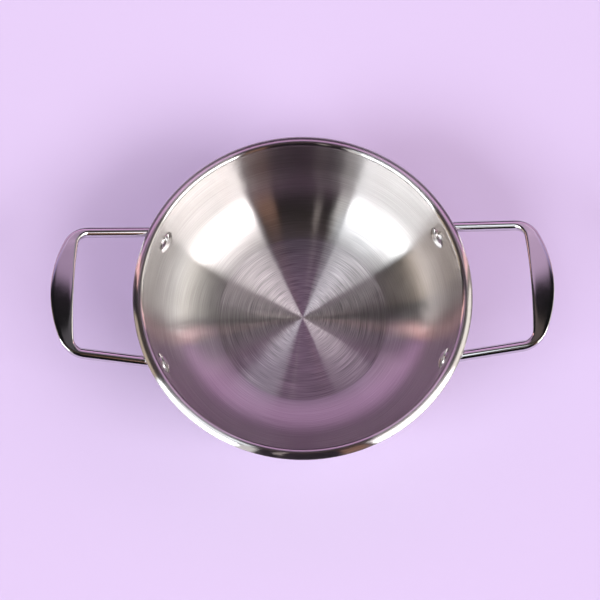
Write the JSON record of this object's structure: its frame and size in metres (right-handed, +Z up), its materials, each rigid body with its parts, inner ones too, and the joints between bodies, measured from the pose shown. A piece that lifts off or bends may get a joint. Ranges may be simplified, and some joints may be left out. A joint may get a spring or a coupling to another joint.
{
  "type": "two-handled pan",
  "caption": "Shallow round steel pan with a flat floor, curved wall and rolled lip, and a looped rod handle riveted to each side, for cooking on a stove.",
  "frame": {"origin": "centre of the base's underside, on the surface that the pan stands on", "axes": "+X through the middle of the right handle, +Z up along the bowl's axis"},
  "size_m": [0.3202, 0.22, 0.0799],
  "materials": {
    "bowl_steel": "stainless steel, spun with fine rings round the axis",
    "core_aluminium": "plain rolled sheet",
    "base_steel": "stainless steel, spun with rings round the axis",
    "handle_steel": "stainless steel, polished",
    "rivet_steel": "stainless steel, bright polished"
  },
  "bodies": {
    "root": {"pot_body": "bowl_steel", "heat_spreader_disc": "core_aluminium", "base_cap": "base_steel", "handle_right": "handle_steel", "handle_left": "handle_steel", "rivet_right_far": "rivet_steel", "rivet_right_near": "rivet_steel", "rivet_left_near": "rivet_steel", "rivet_left_far": "rivet_steel"}
  },
  "joints": []
}
